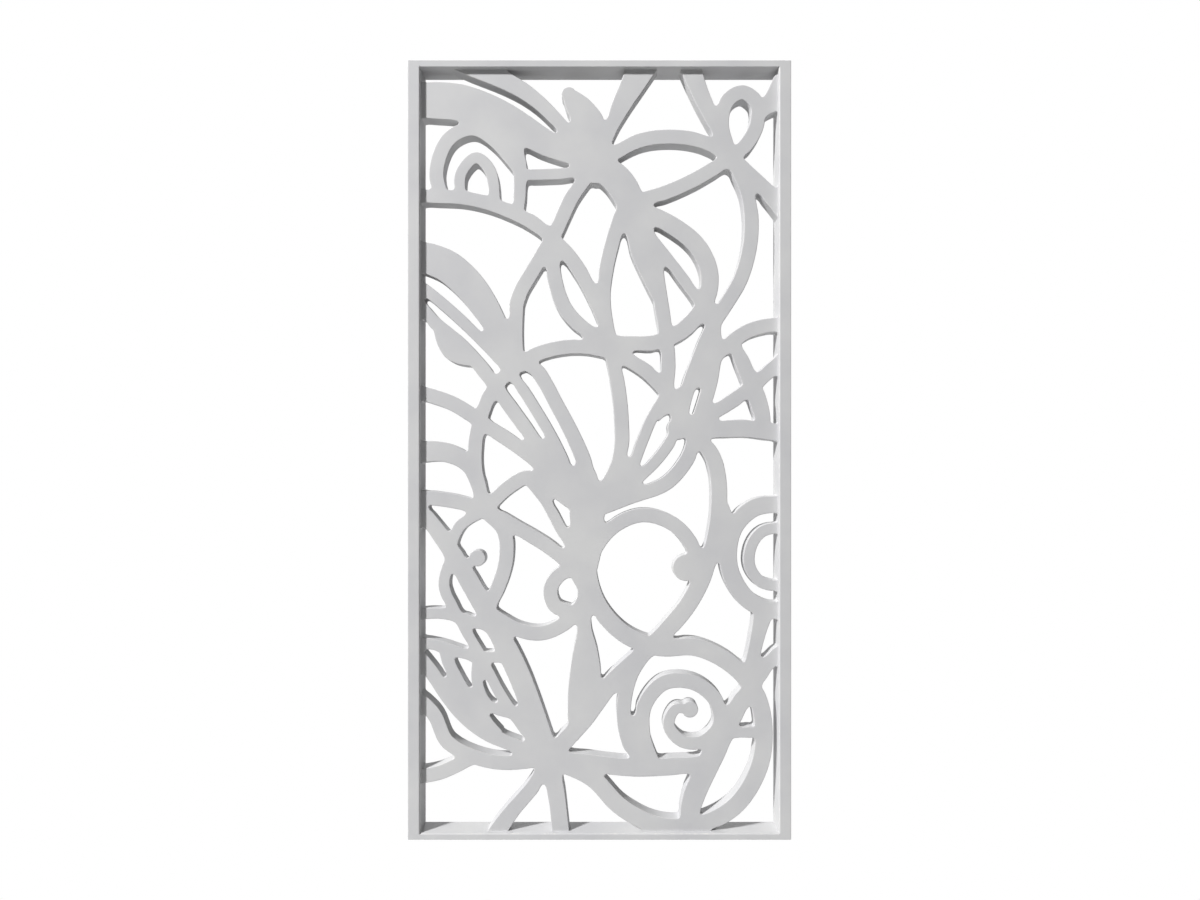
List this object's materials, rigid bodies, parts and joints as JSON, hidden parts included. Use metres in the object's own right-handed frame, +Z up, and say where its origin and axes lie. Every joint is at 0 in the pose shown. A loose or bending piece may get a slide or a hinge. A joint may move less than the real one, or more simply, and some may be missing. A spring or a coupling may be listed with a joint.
{
  "type": "hanging room divider panel",
  "caption": "Tall openwork panel of whiplash scrollwork in a slim square-edged frame, hung from its top edge to divide a room.",
  "frame": {"origin": "middle of the top edge, midway between the two hanging inserts, where the panel is held", "axes": "+X to the right as seen from the front, +Y from the front to the back, +Z up; the front faces -Y and the panel hangs down to z = -1.22 m"},
  "size_m": [0.6, 0.038, 1.22],
  "materials": {
    "painted_wood": "satin grey-white paint on softwood bars",
    "painted_sheet": "satin grey-white paint on routed fibreboard",
    "beech": "bare beech",
    "steel": "bright steel",
    "brass": "turned brass"
  },
  "bodies": {
    "root": {"left_stile": "painted_wood", "right_stile": "painted_wood", "top_rail": "painted_wood", "bottom_rail": "painted_wood", "left_bead": "painted_wood", "right_bead": "painted_wood", "fretwork_panel": "painted_sheet", "top_left_dowels": "beech", "top_right_dowels": "beech", "bottom_left_dowels": "beech", "bottom_right_dowels": "beech", "left_bead_pins": "steel", "right_bead_pins": "steel", "top_rail_screws": "steel", "bottom_rail_screws": "steel", "left_hanging_insert": "brass", "right_hanging_insert": "brass"}
  },
  "joints": []
}
